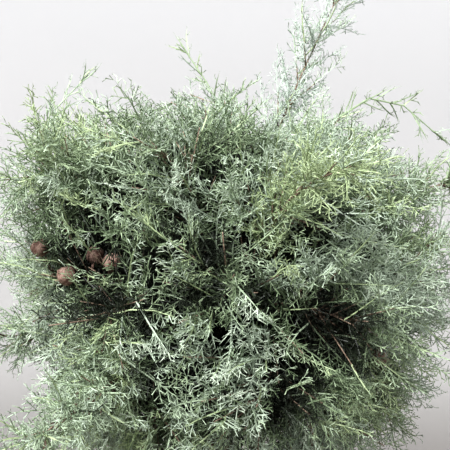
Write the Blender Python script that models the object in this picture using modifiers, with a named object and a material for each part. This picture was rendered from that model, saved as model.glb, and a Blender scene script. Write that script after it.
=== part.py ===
"""A bushy blue cypress in a plain clay pot: pot, soil, trunk, boughs and masses of foliage, each one solid.

Metres, +Z up. The origin is the middle of the pot's flat underside, and the plant's front looks towards -Y.
Every limb is one bend from its start to its end, and every mass of foliage grows from its own stem by one seeded rule.
"""

import math
import random

import bmesh
import bpy
import numpy as np
from mathutils import Quaternion, Vector, noise

GAP = 0.0003  # air left between two pieces that touch
TOUCH = 0.00001  # points closer than this are one point

# Pot and soil
POT_HEIGHT = 0.205
POT_RIM_RADIUS = 0.122  # outside of the rim band
POT_NECK_RADIUS = 0.114  # outside of the wall just under the band
POT_BASE_RADIUS = 0.084
POT_BAND_HEIGHT = 0.036
POT_WALL = 0.009
POT_FLOOR = 0.012
POT_LIP = 0.003  # how much the edges of the lip and the foot are eased
SOIL_DEPTH_BELOW_RIM = 0.022
SOIL_MOUND = 0.006  # how much higher the soil is round the trunk than at the wall
SOIL_FLAT = 0.047  # radius of the flat that the trunk stands on
SOIL_GAP = 0.0006  # to the pot: both are turned in the same steps, so the gap is narrowest inside a facet
SOIL_SHOULDER = (0.72, 0.4)  # share of the wall's radius, and share of the mound lost there
TURNING_STEPS = 28

# Crown, measured from the hub that its boughs spread from
HUB = Vector((0.0, 0.0, 0.50))
CROWN_HALF_WIDTH = 0.285
CROWN_HALF_DEPTH = 0.265
CROWN_RISE = 0.255
CROWN_DROP = 0.245
CROWN_SQUARENESS = 2.7  # 2 is an ellipsoid, and more is boxier
CROWN_FRINGE = 1.05  # how far sprays may stand out of the crown's surface, of its reach
CROWN_LUMPS = 0.14  # how uneven the surface is, of its reach
CROWN_LUMP_SCALE = 3.2
# Bulges and hollows: azimuth, elevation, the width and height of each in degrees, and how much further the
# crown reaches there, as a share. The first rows shape its outline, and the last ones its front.
CROWN_LOBES = [
    (180, 42, 40, 16, 0.09),
    (180, 66, 45, 8, -0.17),
    (175, 80, 22, 9, 0.12),
    (0, 75, 22, 11, -0.19),
    (0, 40, 40, 15, -0.09),
    (195, 2, 30, 6, -0.19),
    (200, -18, 45, 12, -0.25),
    (205, -45, 45, 14, -0.08),
    (-15, 3, 40, 6, -0.07),
    (-20, -34, 45, 16, -0.17),
    (238, 9, 14, 11, -0.24),
    (266, 12, 11, 10, -0.16),
    (293, -2, 11, 9, -0.24),
    (262, -22, 22, 12, 0.05),
    (240, -10, 9, 8, 0.06),
    (308, 12, 14, 12, 0.04),
]

# Trunk, a leader that runs up through the crown
TRUNK_TOP = Vector((0.016, 0.005, 0.598))
TRUNK_RADIUS = 0.0115
TRUNK_TOP_RADIUS = 0.0050
TRUNK_FLARE = 0.010  # added at the foot
TRUNK_FLARE_HEIGHT = 0.018
TRUNK_STEPS = 48
TRUNK_SPRING = 0.5
TRUNK_RINGS = [0, 0.02, 0.045, 0.08, 0.13, 0.24, 0.40, 0.60, 0.80, 1.0]  # shares, close where the foot flares
TRUNK_SIDES = 9

# Boughs
LOWEST_BOUGH = 0.20  # shares of the trunk's length
HIGHEST_BOUGH = 0.82
BOUGH_RADIUS = 0.0052
BOUGH_TIP_RADIUS = 0.0042
BOUGH_STEPS = 5
BOUGH_SIDES = 5
BOUGH_LIFT = 0.60  # how steeply a bough leaves the trunk before it turns outwards
BOUGH_SPRING = 0.55

# Foliage
STEM_RADIUS = 0.0023
STEM_TIP_RADIUS = 0.0009
STEM_STEPS = 5
STEM_SIDES = 3
STEM_SPRING = 0.45
TWIG_RADIUS = 0.0016
TWIG_TIP_RADIUS = 0.0010
TWIG_STEPS = 1
TWIG_SPRING = 0.5
TWIG_SIDES = 3
LAST_TWIG = 0.94  # share of the stem
TWIG_SPREAD = (1.10, -0.35)  # of the habit's spread: at the stem's root, and the change towards its tip
TWIG_SPREAD_CHANCE = 7  # degrees either way
TWIG_LENGTH = (1.15, -0.55)  # of the habit's length, as for the spread
TWIG_LENGTH_CHANCE = (0.85, 1.12)
TWIG_LEAN = 0.28  # how much a twig turns towards the stem's heading
FIRST_SPRAY = 0.34  # share of the twig
SPRAY_RUN = 0.42  # share of the twig that its side sprays are spread over
END_SPRAY = 0.90
STEM_END_SPRAY = 0.95
END_SPRAY_REACH = 0.6  # how far a stem's last spray stands out past its end, of its length
SPRAY_SPREAD = (38, 50)
SPRAY_LENGTH_CHANCE = (0.85, 1.10)
MIDDLE_OF_SPRAY = 0.6  # the second point of a spray that has to be in its mass's space
SPRAY_WIDTH = 0.36  # of its length
SPRAY_THICKNESS = 0.12  # of its length
SPRAY_WAIST = 0.38  # where along its length a spray is widest
SPRAY_ROOT = 0.0005  # how far its root is sunk past the twig's middle
SEED = 4
GOLDEN_ANGLE = math.pi * (3 - math.sqrt(5))
ROOM_STEPS = 24  # steps along a limb that distances are measured from
SPACE_MARGIN = 0.006  # a mass keeps this much nearer its own stem than any other stem
LIMB_MARGIN = 0.005  # foliage keeps this far from the bark of boughs and trunk
TRIES = 5  # tries at placing one twig or spray before it is left out
SHORTENING = 0.82  # what is left of a twig or spray each time it is cut back to the crown's surface

# How a mass branches: crown masses are round and leafy, and shoots are long plumes
CROWN_HABIT = {
    "twigs": 3, "twig_length": 0.110, "first_twig": 0.12, "spread": 60, "sprays": 3, "spray_length": 0.092,
    "fringe": CROWN_FRINGE,
}
SHOOT_HABITS = {
    "leader": {
        "twigs": 8, "twig_length": 0.052, "first_twig": 0.26, "spread": 44, "sprays": 1, "spray_length": 0.054,
    },
    "slender": {
        "twigs": 7, "twig_length": 0.018, "first_twig": 0.34, "spread": 50, "sprays": 0, "spray_length": 0.030,
    },
    "side": {
        "twigs": 6, "twig_length": 0.042, "first_twig": 0.32, "spread": 48, "sprays": 1, "spray_length": 0.042,
    },
    "feathery": {
        "twigs": 9, "twig_length": 0.032, "first_twig": 0.26, "spread": 42, "sprays": 1, "spray_length": 0.044,
    },
}

# Tiers from the bottom up. Angles are in degrees, azimuth 0 is +X and 270 is the front. Each bough ends at
# this share of the crown's reach and carries two masses, fanned to both sides of its azimuth. The top's masses
# stand on the trunk's own tip.
TIERS = {
    "lower": {
        "boughs": 5, "azimuth": 11, "elevation": -22, "share": 0.44,
        "mass_elevation": -33, "fan": 18, "stagger": 9,
    },
    "middle": {
        "boughs": 5, "azimuth": 0, "elevation": 8, "share": 0.42,
        "mass_elevation": 6, "fan": 18, "stagger": 6,
    },
    "upper": {
        "boughs": 4, "azimuth": 0, "elevation": 44, "share": 0.44,
        "mass_elevation": 41, "fan": 22, "stagger": 5,
    },
}
TOP = {"masses": 2, "azimuth": 78, "mass_elevation": 62, "stagger": 4}

# Long shoots that stand out of the crown. Each grows from a limb's tip, sets off towards its heading
# (azimuth, elevation) and ends at its tip (azimuth, elevation, reach from the hub). Spring is how far it
# holds its heading, as a share of its length.
SHOOTS = {
    "leader": {
        "limb": "trunk", "heading": (10, 71), "spring": 0.39, "tip": (11, 69.5, 0.453), "habit": "leader",
    },
    "left_leader": {
        "limb": "trunk", "heading": (0, 81), "spring": 0.46, "tip": (160, 80, 0.345), "habit": "slender",
    },
    "arching": {
        "limb": "upper_1", "heading": (0, 78), "spring": 1.19, "tip": (7, 37, 0.362), "habit": "slender",
    },
    "right": {
        "limb": "upper_1", "heading": (-14, 38), "spring": 0.37, "tip": (-14, 29, 0.334), "habit": "side",
    },
    "upper_left": {
        "limb": "upper_3", "heading": (180, 22), "spring": 1.05, "tip": (172, 59, 0.352), "habit": "slender",
    },
    "left": {
        "limb": "lower_3", "heading": (185, 8), "spring": 0.45, "tip": (184, -7, 0.305), "habit": "side",
    },
    "low_left": {
        "limb": "lower_4", "heading": (243, -8), "spring": 0.50, "tip": (238, -17, 0.372), "habit": "side",
    },
    "front": {
        "limb": "middle_5", "heading": (269, 55), "spring": 0.61, "tip": (293, 27, 0.369), "habit": "feathery",
    },
}

# Cones stand on short stalks: mass, share along its stem, azimuth and elevation of the stalk
CONE_RADIUS = 0.0115
CONE_STALK = 0.024
CONE_STALK_RADIUS = 0.0014
CONE_SINK = 0.25  # how far the stalk runs into the cone, of its radius
CONE_SEGMENTS = (8, 4)  # round it, and from end to end
CONE_STALK_SIDES = 3
CONES = {
    "middle_7": [(0.75, 262, 8), (0.42, 300, 60), (0.60, 60, 70), (0.97, 180, 64)],
    "lower_1": [(0.85, 290, 25)],
    "upper_3": [(0.60, 80, 20)],
    "middle_3": [(0.55, 60, 10), (0.72, 100, -15)],
}

BARK = ("bark", (0.20, 0.11, 0.075), 0.85)
FOLIAGE = ("foliage", (0.20, 0.29, 0.21), 0.7)
CLAY = ("clay", (0.56, 0.27, 0.16), 0.8)
SOIL = ("soil", (0.055, 0.038, 0.026), 0.95)


# ---------------------------------------------------------------- scene and materials


def clear_scene():
    for obj in list(bpy.data.objects):
        bpy.data.objects.remove(obj)


def new_collection(name, shown=True):
    collection = bpy.data.collections.new(name)
    bpy.context.scene.collection.children.link(collection)
    collection.hide_render = not shown
    return collection


def material(recipe):
    name, colour, roughness = recipe
    made = bpy.data.materials.get(name)
    if made is None:
        made = bpy.data.materials.new(name)
        made.use_nodes = True
        shader = made.node_tree.nodes["Principled BSDF"]
        shader.inputs["Base Color"].default_value = (*colour, 1.0)
        shader.inputs["Roughness"].default_value = roughness
        made.diffuse_color = (*colour, 1.0)
    return made


def add_object(name, mesh, recipe, collection):
    obj = bpy.data.objects.new(name, mesh)
    mesh.materials.clear()
    mesh.materials.append(material(recipe))
    collection.objects.link(obj)
    return obj


# ---------------------------------------------------------------- limbs


def direction(azimuth, elevation):
    a = math.radians(azimuth)
    e = math.radians(elevation)
    return Vector((math.cos(a) * math.cos(e), math.sin(a) * math.cos(e), math.sin(e)))


def crown_reach(heading):
    """How far the crown's surface is from the hub along a unit heading."""
    height = CROWN_RISE if heading.z > 0 else CROWN_DROP
    halves = (CROWN_HALF_WIDTH, CROWN_HALF_DEPTH, height)
    total = sum(abs(h / half) ** CROWN_SQUARENESS for h, half in zip(heading, halves))
    reach = total ** (-1 / CROWN_SQUARENESS)
    facing = math.degrees(math.atan2(heading.y, heading.x))
    rising = math.degrees(math.asin(max(-1, min(1, heading.z))))
    for azimuth, elevation, width, height, gain in CROWN_LOBES:
        aside = ((facing - azimuth + 180) % 360 - 180) * math.cos(math.radians(rising)) / width
        reach *= 1 + gain * math.exp(-(aside**2) - ((rising - elevation) / height) ** 2)
    return reach * (1 + CROWN_LUMPS * noise.noise(heading * CROWN_LUMP_SCALE))


def limb_path(start, heading, end, spring, steps):
    """Points of one bend from start to end, which sets off along heading."""
    knee = start + heading.normalized() * ((end - start).length * spring)
    points = []
    for i in range(steps + 1):
        t = i / steps
        points.append(start * (1 - t) ** 2 + knee * (2 * t * (1 - t)) + end * t**2)
    return points


def along(path, share):
    """The point and the unit heading at a share of a path's steps."""
    place = share * (len(path) - 1)
    i = min(int(place), len(path) - 2)
    step = path[i + 1] - path[i]
    return path[i] + step * (place - i), step.normalized()


def across(heading, turn):
    """A unit vector square to heading, turned round it by an angle."""
    side = heading.orthogonal().normalized()
    return Quaternion(heading, turn) @ side


def tapering(first, last, count):
    return [first + (last - first) * i / (count - 1) for i in range(count)]


def tube_mesh(name, path, radii, sides):
    """A closed tapering tube along a path, made from a curve with a many-sided bevel."""
    outline = bpy.data.curves.new(name + "_outline", "CURVE")
    ring = outline.splines.new("POLY")
    ring.points.add(sides - 1)
    ring.use_cyclic_u = True
    for i, point in enumerate(ring.points):
        turn = 2 * math.pi * i / sides
        point.co = (math.cos(turn), math.sin(turn), 0, 1)
    outline_object = bpy.data.objects.new(name + "_outline", outline)

    curve = bpy.data.curves.new(name + "_curve", "CURVE")
    curve.dimensions = "3D"
    curve.bevel_mode = "OBJECT"
    curve.bevel_object = outline_object
    curve.use_fill_caps = True
    spline = curve.splines.new("POLY")
    spline.points.add(len(path) - 1)
    for point, place, radius in zip(spline.points, path, radii):
        point.co = (*place, 1)
        point.radius = radius
    curve_object = bpy.data.objects.new(name + "_curve", curve)
    bpy.context.scene.collection.objects.link(curve_object)
    bpy.context.view_layer.update()
    mesh = bpy.data.meshes.new_from_object(curve_object.evaluated_get(bpy.context.evaluated_depsgraph_get()))
    mesh.name = name
    bpy.data.objects.remove(curve_object)
    bpy.data.objects.remove(outline_object)
    bpy.data.curves.remove(curve)
    bpy.data.curves.remove(outline)

    bm = bmesh.new()
    bm.from_mesh(mesh)
    bmesh.ops.remove_doubles(bm, verts=bm.verts, dist=TOUCH)
    bmesh.ops.recalc_face_normals(bm, faces=bm.faces)
    bm.to_mesh(mesh)
    bm.free()
    return mesh


def mitre_root(mesh, path, radius, point, normal):
    """Slides the first ring of a tube along its heading onto a plane."""
    heading = (path[1] - path[0]).normalized()
    for vert in mesh.vertices:
        if (vert.co - path[0]).length < radius + TOUCH:
            vert.co += heading * ((point - vert.co).dot(normal) / heading.dot(normal))


# ---------------------------------------------------------------- pot, soil and trunk


def turned(name, profile, recipe, collection):
    """A solid turned round the Z axis from a profile of (radius, height) points."""
    mesh = bpy.data.meshes.new(name)
    bm = bmesh.new()
    points = [bm.verts.new((radius, 0, height)) for radius, height in profile]
    for a, b in zip(points, points[1:]):
        bm.edges.new((a, b))
    bm.to_mesh(mesh)
    bm.free()
    obj = add_object(name, mesh, recipe, collection)
    screw = obj.modifiers.new("turn", "SCREW")
    screw.steps = TURNING_STEPS
    screw.render_steps = TURNING_STEPS
    screw.use_merge_vertices = True
    screw.merge_threshold = 0.0001
    return obj


def pot_wall_radius(height):
    """The pot's inner radius at a height."""
    share = height / (POT_HEIGHT - POT_BAND_HEIGHT)
    return POT_BASE_RADIUS + (POT_NECK_RADIUS - POT_BASE_RADIUS) * share - POT_WALL


def add_pot(collection):
    band_foot = POT_HEIGHT - POT_BAND_HEIGHT
    profile = [
        (0, POT_FLOOR),
        (pot_wall_radius(POT_FLOOR), POT_FLOOR),
        (pot_wall_radius(POT_HEIGHT), POT_HEIGHT - POT_LIP),
        (pot_wall_radius(POT_HEIGHT) + POT_LIP, POT_HEIGHT),
        (POT_RIM_RADIUS - POT_LIP, POT_HEIGHT),
        (POT_RIM_RADIUS, POT_HEIGHT - POT_LIP),
        (POT_RIM_RADIUS - POT_LIP / 2, band_foot + POT_LIP),
        (POT_RIM_RADIUS - POT_LIP, band_foot),
        (POT_NECK_RADIUS, band_foot),
        (POT_BASE_RADIUS, POT_LIP),
        (POT_BASE_RADIUS - POT_LIP, 0),
        (0, 0),
    ]
    turned("pot", profile, CLAY, collection)


def soil_height():
    return POT_HEIGHT - SOIL_DEPTH_BELOW_RIM


def add_soil(collection):
    top = soil_height()
    edge = top - SOIL_MOUND
    bottom = POT_FLOOR + GAP
    profile = [
        (0, top),
        (SOIL_FLAT, top),
        (SOIL_SHOULDER[0] * pot_wall_radius(top), top - SOIL_SHOULDER[1] * SOIL_MOUND),
        (pot_wall_radius(edge) - SOIL_GAP, edge),
        (pot_wall_radius(bottom) - SOIL_GAP, bottom),
        (0, bottom),
    ]
    turned("soil", profile, SOIL, collection)


def trunk_path(steps=TRUNK_STEPS):
    foot = Vector((0, 0, soil_height() + GAP))
    return limb_path(foot, Vector((0, 0, 1)), TRUNK_TOP, TRUNK_SPRING, steps)


def trunk_radius(share):
    length = TRUNK_TOP.z - soil_height()
    straight = TRUNK_RADIUS + (TRUNK_TOP_RADIUS - TRUNK_RADIUS) * share
    return straight + TRUNK_FLARE * math.exp(-share * length / TRUNK_FLARE_HEIGHT)


def trunk_mesh(name, extra=0.0):
    """The trunk from its flat cut on the soil to its tip, where the top's masses grow on."""
    points = [along(trunk_path(), share)[0] for share in TRUNK_RINGS]
    return tube_mesh(name, points, [trunk_radius(share) + extra for share in TRUNK_RINGS], TRUNK_SIDES)


# ---------------------------------------------------------------- the plan of boughs and masses


def plan_boughs():
    """Every bough's path by name, from the lowest up the trunk."""
    aims = {}
    for tier, plan in TIERS.items():
        for i in range(plan["boughs"]):
            aim = direction(plan["azimuth"] + 360 * i / plan["boughs"], plan["elevation"])
            aims[f"{tier}_{i + 1}"] = (aim, plan["share"])
    boughs = {}
    for i, (name, (aim, share)) in enumerate(aims.items()):
        height = LOWEST_BOUGH + (HIGHEST_BOUGH - LOWEST_BOUGH) * i / (len(aims) - 1)
        start, up = along(trunk_path(), height)
        end = HUB + aim * (crown_reach(aim) * share)
        outward = Vector((aim.x, aim.y, 0)).normalized()
        heading = up * BOUGH_LIFT + outward * (1 - BOUGH_LIFT)
        boughs[name] = limb_path(start, heading, end, BOUGH_SPRING, BOUGH_STEPS)
    return boughs


def crown_mass(limb, azimuth, elevation):
    aim = direction(azimuth, elevation)
    end = HUB + aim * (crown_reach(aim) - END_SPRAY_REACH * CROWN_HABIT["spray_length"])
    return {"limb": limb, "heading": None, "spring": STEM_SPRING, "end": end, "habit": CROWN_HABIT}


def plan_ends():
    """Where every mass grows from and to, by name."""
    plans = {}
    for tier, plan in TIERS.items():
        for i in range(2 * plan["boughs"]):
            side = 2 * (i % 2) - 1
            azimuth = plan["azimuth"] + 360 * (i // 2) / plan["boughs"] + side * plan["fan"]
            elevation = plan["mass_elevation"] - side * plan["stagger"]
            plans[f"{tier}_{i + 1}"] = crown_mass(f"{tier}_{i // 2 + 1}", azimuth, elevation)
    for i in range(TOP["masses"]):
        azimuth = TOP["azimuth"] + 360 * i / TOP["masses"]
        elevation = TOP["mass_elevation"] + (i - 1) * TOP["stagger"]
        plans[f"top_{i + 1}"] = crown_mass("trunk", azimuth, elevation)
    for name, plan in SHOOTS.items():
        azimuth, elevation, reach = plan["tip"]
        habit = SHOOT_HABITS[plan["habit"]]
        end = HUB + direction(azimuth, elevation) * (reach - END_SPRAY_REACH * habit["spray_length"])
        heading = direction(*plan["heading"])
        plans["shoot_" + name] = {**plan, "heading": heading, "end": end, "habit": habit}
    return plans


def plan_masses(limbs):
    """Adds every mass's stem. The stems on one limb start in a ring on its tip, each on its own side."""
    plans = plan_ends()
    for limb, path in limbs.items():
        tip, forward = along(path, 1)
        side = across(forward, 0)
        over = forward.cross(side)
        group = []
        for mass in plans.values():
            if mass["limb"] == limb:
                outward = mass["heading"] or mass["end"] - tip
                group.append((math.atan2(outward.dot(over), outward.dot(side)), mass))
        group.sort(key=lambda item: item[0])
        count = len(group)
        ring = (STEM_RADIUS + GAP / 2) / math.sin(math.pi / count) if count > 1 else 0
        turn = sum(angle - 2 * math.pi * i / count for i, (angle, _) in enumerate(group)) / count
        for i, (_, mass) in enumerate(group):
            angle = turn + 2 * math.pi * i / count
            start = tip + (side * math.cos(angle) + over * math.sin(angle)) * ring - forward * STEM_RADIUS
            heading = mass["heading"] or forward + (mass["end"] - tip).normalized()
            mass["path"] = limb_path(start, heading, mass["end"], mass["spring"], STEM_STEPS)
            mass["contact"] = (tip + forward * GAP, forward)
    return plans


# ---------------------------------------------------------------- foliage


def limb_radius(name):
    return TRUNK_RADIUS if name == "trunk" else BOUGH_RADIUS


def dense(path):
    """Points close together along a path, to measure distances from."""
    return np.array([along(path, i / ROOM_STEPS)[0] for i in range(ROOM_STEPS + 1)])


class Room:
    """The space each mass keeps to: nearer its own stem than any other, and clear of the bark."""

    def __init__(self, limbs, masses):
        self.stems = {name: dense(mass["path"]) for name, mass in masses.items()}
        self.limbs = [(dense(path), limb_radius(name)) for name, path in limbs.items()]

    def holds(self, name, points):
        for point in points:
            spot = np.array(point)
            own = np.linalg.norm(self.stems[name] - spot, axis=1).min()
            others = min(
                np.linalg.norm(stem - spot, axis=1).min()
                for other, stem in self.stems.items()
                if other != name
            )
            if others - own < SPACE_MARGIN:
                return False
            for limb, radius in self.limbs:
                if np.linalg.norm(limb - spot, axis=1).min() < radius + LIMB_MARGIN:
                    return False
        return True


def fitted(root, aim, length, habit):
    """A length cut back until its tip is inside the crown, or 0 where there is no room. Shoots aren't cut back."""
    if "fringe" not in habit:
        return length
    for _ in range(TRIES):
        spoke = root + aim * length - HUB
        if spoke.length / crown_reach(spoke.normalized()) <= habit["fringe"]:
            return length
        length *= SHORTENING
    return 0


def grow_twigs(name, mass, room, rng):
    """The paths of a mass's twigs, which stand off its stem all round and lean forward towards its tip."""
    habit = mass["habit"]
    twigs = []
    turn = rng.uniform(0, 2 * math.pi)
    for i in range(habit["twigs"]):
        share = habit["first_twig"] + (LAST_TWIG - habit["first_twig"]) * i / (habit["twigs"] - 1)
        root, heading = along(mass["path"], share)
        for _ in range(TRIES):
            turn += GOLDEN_ANGLE
            spread = habit["spread"] * (TWIG_SPREAD[0] + TWIG_SPREAD[1] * share)
            spread = math.radians(spread + rng.uniform(-TWIG_SPREAD_CHANCE, TWIG_SPREAD_CHANCE))
            aim = heading * math.cos(spread) + across(heading, turn) * math.sin(spread)
            length = habit["twig_length"] * (TWIG_LENGTH[0] + TWIG_LENGTH[1] * share)
            length = fitted(root, aim, length * rng.uniform(*TWIG_LENGTH_CHANCE), habit)
            end = root + (aim + heading * TWIG_LEAN).normalized() * length
            path = limb_path(root, aim, end, TWIG_SPRING, TWIG_STEPS)
            if length and room.holds(name, path[1:]):
                twigs.append(path)
                break
    return twigs


def grow_sprays(name, twig, habit, room, rng):
    """Root, tip and a flat side for each spray of a twig: some to the sides, and one at its end."""
    sprays = []
    turn = rng.uniform(0, 2 * math.pi)
    for i in range(habit["sprays"]):
        share = FIRST_SPRAY + SPRAY_RUN * i / max(1, habit["sprays"] - 1)
        root, heading = along(twig, share)
        for _ in range(TRIES):
            turn += GOLDEN_ANGLE
            spread = math.radians(rng.uniform(*SPRAY_SPREAD))
            aim = heading * math.cos(spread) + across(heading, turn) * math.sin(spread)
            length = fitted(root, aim, habit["spray_length"] * rng.uniform(*SPRAY_LENGTH_CHANCE), habit)
            if length and room.holds(name, [root + aim * length, root + aim * (MIDDLE_OF_SPRAY * length)]):
                sprays.append((root - aim * SPRAY_ROOT, root + aim * length, across(aim, turn)))
                break
    root, heading = along(twig, END_SPRAY)
    length = fitted(root, heading, habit["spray_length"], habit)
    if length and room.holds(name, [root + heading * length, root + heading * (MIDDLE_OF_SPRAY * length)]):
        sprays.append((root - heading * SPRAY_ROOT, root + heading * length, across(heading, turn)))
    return sprays


def spray_mesh(name, root, tip, side):
    """A slim blade of eight faces, which stands for one feathery spray."""
    length = (tip - root).length
    forward = (tip - root) / length
    side = (side - forward * side.dot(forward)).normalized()
    bm = bmesh.new()
    bmesh.ops.create_uvsphere(bm, u_segments=4, v_segments=2, radius=1)
    for vert in bm.verts:
        at_end = abs(vert.co.z) > 1 - TOUCH
        rise = (vert.co.z + 1) / 2 if at_end else SPRAY_WAIST
        across_blade = side * (vert.co.x * SPRAY_WIDTH * length / 2)
        through_blade = forward.cross(side) * (vert.co.y * SPRAY_THICKNESS * length / 2)
        vert.co = root + forward * (rise * length) + across_blade + through_blade
    bmesh.ops.recalc_face_normals(bm, faces=bm.faces)
    mesh = bpy.data.meshes.new(name)
    bm.to_mesh(mesh)
    bm.free()
    return mesh


def cone_meshes(name, root, aim):
    """A round woody cone and the short stalk that holds it to the stem."""
    stalk_end = root + aim * CONE_STALK
    stalk = tube_mesh(name + "_stalk", [root, stalk_end], [CONE_STALK_RADIUS] * 2, CONE_STALK_SIDES)
    bm = bmesh.new()
    round_it, end_to_end = CONE_SEGMENTS
    bmesh.ops.create_uvsphere(bm, u_segments=round_it, v_segments=end_to_end, radius=CONE_RADIUS)
    bmesh.ops.transform(bm, matrix=aim.to_track_quat("Z", "Y").to_matrix().to_4x4(), verts=bm.verts)
    bmesh.ops.translate(bm, vec=root + aim * (CONE_STALK + (1 - CONE_SINK) * CONE_RADIUS), verts=bm.verts)
    ball = bpy.data.meshes.new(name + "_ball")
    bm.to_mesh(ball)
    bm.free()
    return [stalk, ball]


def drop_scraps(mesh):
    """Keeps the largest connected piece of a mesh."""
    bm = bmesh.new()
    bm.from_mesh(mesh)
    bmesh.ops.triangulate(bm, faces=bm.faces)
    left = set(bm.verts)
    islands = []
    while left:
        found = {left.pop()}
        edge = list(found)
        while edge:
            vert = edge.pop()
            for link in vert.link_edges:
                other = link.other_vert(vert)
                if other not in found:
                    found.add(other)
                    edge.append(other)
        left -= found
        islands.append(found)
    islands.sort(key=len)
    for scrap in islands[:-1]:
        bmesh.ops.delete(bm, geom=list(scrap), context="VERTS")
    bm.to_mesh(mesh)
    bm.free()


def fuse(name, base, pieces, recipe, collection):
    """Joins meshes into one closed solid with a Boolean union."""
    joined = new_collection(name + "_pieces")
    for i, piece in enumerate(pieces):
        add_object(f"{name}_piece_{i}", piece, recipe, joined)
    obj = add_object(name, base, recipe, collection)
    union = obj.modifiers.new("join", "BOOLEAN")
    union.operation = "UNION"
    union.operand_type = "COLLECTION"
    union.collection = joined
    bpy.context.view_layer.update()
    whole = bpy.data.meshes.new_from_object(obj.evaluated_get(bpy.context.evaluated_depsgraph_get()))
    obj.modifiers.clear()
    obj.data = whole
    whole.name = name
    drop_scraps(whole)
    for piece in list(joined.objects):
        bpy.data.objects.remove(piece)
    bpy.data.collections.remove(joined)
    return obj


def add_mass(name, mass, room, collection):
    rng = random.Random(f"{name} {SEED}")
    path = mass["path"]
    stem = tube_mesh(name, path, tapering(STEM_RADIUS, STEM_TIP_RADIUS, len(path)), STEM_SIDES)
    mitre_root(stem, path, STEM_RADIUS, *mass["contact"])
    pieces = []
    sprays = []
    twigs = grow_twigs(name, mass, room, rng)
    for i, twig in enumerate(twigs):
        radii = tapering(TWIG_RADIUS, TWIG_TIP_RADIUS, len(twig))
        pieces.append(tube_mesh(f"{name}_twig_{i}", twig, radii, TWIG_SIDES))
        sprays += grow_sprays(name, twig, mass["habit"], room, rng)
    root, heading = along(path, STEM_END_SPRAY)
    tip = path[-1] + heading * (END_SPRAY_REACH * mass["habit"]["spray_length"])
    sprays.append((root - heading * SPRAY_ROOT, tip, across(heading, rng.uniform(0, math.pi))))
    for i, (root, tip, side) in enumerate(sprays):
        pieces.append(spray_mesh(f"{name}_spray_{i}", root, tip, side))
    for i, (share, azimuth, elevation) in enumerate(CONES.get(name, [])):
        root, _ = along(path, share)
        pieces += cone_meshes(f"{name}_cone_{i}", root, direction(azimuth, elevation))
    node = name if name.startswith("shoot") else "foliage_" + name
    fuse(node, stem, pieces, FOLIAGE, collection)


def cut_by(obj, cutter):
    """Cuts one object by another, which stays as a hidden cutter."""
    cut = obj.modifiers.new("clear of " + cutter.name, "BOOLEAN")
    cut.operation = "DIFFERENCE"
    cut.object = cutter


def build():
    clear_scene()
    tree = new_collection("cypress")
    cutters = new_collection("cutters", shown=False)
    add_pot(tree)
    add_soil(tree)
    add_object("trunk", trunk_mesh("trunk"), BARK, tree)
    trunk_clearance = add_object("trunk_clearance", trunk_mesh("trunk_clearance", GAP), BARK, cutters)
    trunk_clearance.hide_render = True
    trunk_clearance.display_type = "WIRE"

    boughs = plan_boughs()
    for name, path in boughs.items():
        radii = tapering(BOUGH_RADIUS, BOUGH_TIP_RADIUS, len(path))
        bough = add_object("bough_" + name, tube_mesh("bough_" + name, path, radii, BOUGH_SIDES), BARK, tree)
        cut_by(bough, trunk_clearance)

    limbs = {"trunk": trunk_path(), **boughs}
    masses = plan_masses(limbs)
    room = Room(limbs, masses)
    for name, mass in masses.items():
        add_mass(name, mass, room, tree)


build()
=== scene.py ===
# A young blue cypress in a clay pot, grown from its trunk to its last twiglet
import math
import random

import bmesh
import bpy
import numpy as np
from mathutils import Matrix, Quaternion, Vector, noise


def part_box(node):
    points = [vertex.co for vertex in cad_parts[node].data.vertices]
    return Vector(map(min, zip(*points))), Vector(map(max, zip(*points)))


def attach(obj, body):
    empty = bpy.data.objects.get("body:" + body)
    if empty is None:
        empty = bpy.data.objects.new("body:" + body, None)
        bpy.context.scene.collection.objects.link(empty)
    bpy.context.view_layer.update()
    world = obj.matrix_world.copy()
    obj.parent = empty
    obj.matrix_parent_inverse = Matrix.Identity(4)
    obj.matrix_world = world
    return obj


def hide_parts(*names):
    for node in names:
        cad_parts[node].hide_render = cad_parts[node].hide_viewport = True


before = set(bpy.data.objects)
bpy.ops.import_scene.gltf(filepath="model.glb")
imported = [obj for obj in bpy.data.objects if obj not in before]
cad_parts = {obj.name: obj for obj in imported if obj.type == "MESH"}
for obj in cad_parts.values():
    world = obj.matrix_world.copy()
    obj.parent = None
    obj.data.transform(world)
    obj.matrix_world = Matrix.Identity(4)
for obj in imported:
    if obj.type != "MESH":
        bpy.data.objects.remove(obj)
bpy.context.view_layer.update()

scene = bpy.context.scene
up = Vector((0, 0, 1))
goldenAngle = math.pi * (3 - math.sqrt(5))


# Shader maths: a wire is a socket that can be written in sums
class Wire:
    def __init__(self, tree, socket):
        self.tree = tree
        self.socket = socket

    def maths(self, operation, first, second=0.0):
        node = self.tree.nodes.new("ShaderNodeMath")
        node.operation = operation
        for port, value in zip(node.inputs, (first, second)):
            if isinstance(value, Wire):
                self.tree.links.new(value.socket, port)
            else:
                port.default_value = value
        return Wire(self.tree, node.outputs[0])

    def __add__(self, other):
        return self.maths("ADD", self, other)

    def __radd__(self, other):
        return self.maths("ADD", other, self)

    def __sub__(self, other):
        return self.maths("SUBTRACT", self, other)

    def __rsub__(self, other):
        return self.maths("SUBTRACT", other, self)

    def __mul__(self, other):
        return self.maths("MULTIPLY", self, other)

    def __rmul__(self, other):
        return self.maths("MULTIPLY", other, self)

    def __truediv__(self, other):
        return self.maths("DIVIDE", self, other)

    def held(self):  # held between 0 and 1
        wire = self.maths("ADD", self, 0.0)
        wire.socket.node.use_clamp = True
        return wire


def portOf(inputs, port):  # p6 is the seventh input, and Base_Color the one with that name
    return inputs[int(port[1:])] if port[1:].isdigit() else inputs[port.replace("_", " ")]


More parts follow.
